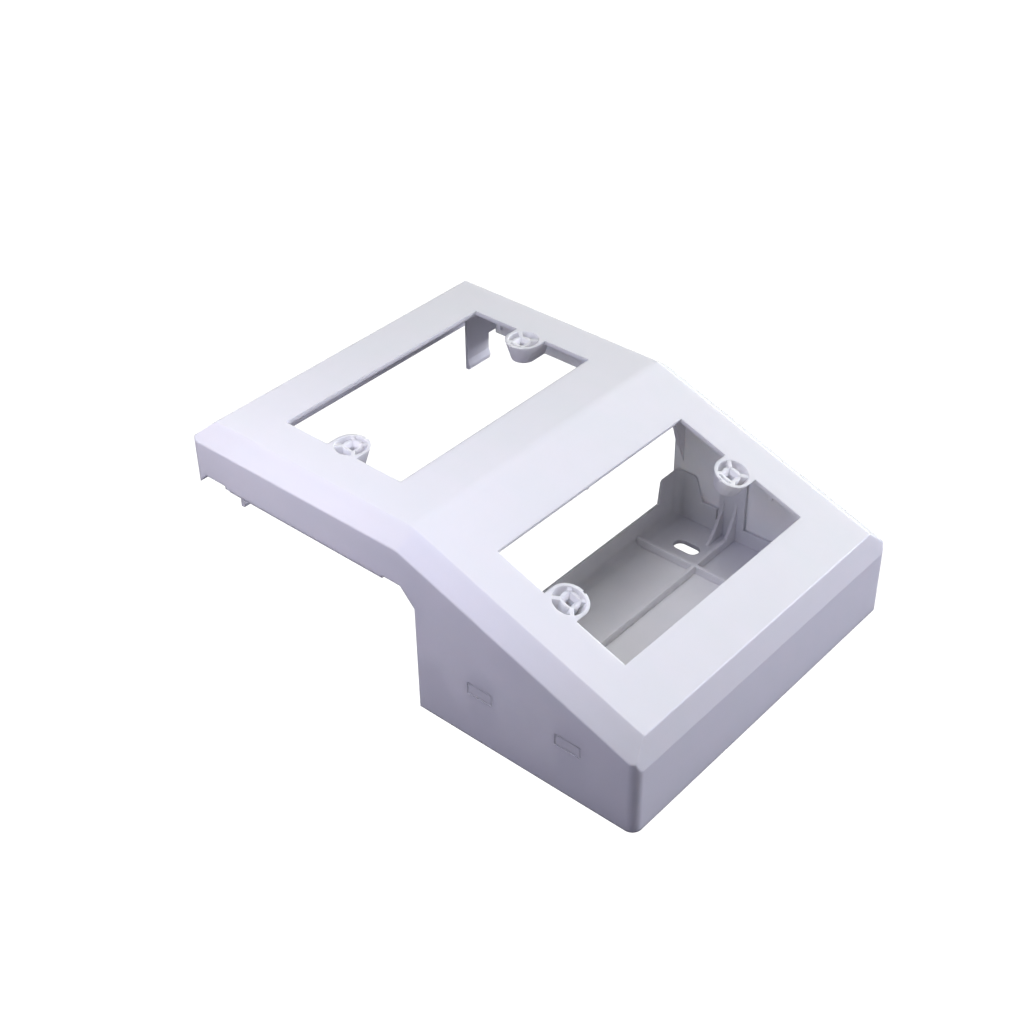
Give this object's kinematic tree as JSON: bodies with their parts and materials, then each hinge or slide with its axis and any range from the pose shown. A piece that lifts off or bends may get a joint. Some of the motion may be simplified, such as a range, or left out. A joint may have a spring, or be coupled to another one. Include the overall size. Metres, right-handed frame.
{
  "type": "surface outlet box",
  "caption": "Offset surface outlet box: a stepped moulded cover with one flat and one sloped accessory window, snapped over a shallow back box beside wall trunking.",
  "frame": {"origin": "middle of the lower box's footprint on the wall, on the underside of the back box", "axes": "+Z out of the wall, +X along the twin accessories and the trunking, +Y from the low front wall towards the raised end"},
  "size_m": [0.197, 0.269, 0.0938],
  "materials": {
    "cover": "satin",
    "base": "satin"
  },
  "bodies": {
    "root": {"cover": "cover", "base": "base"}
  },
  "joints": []
}
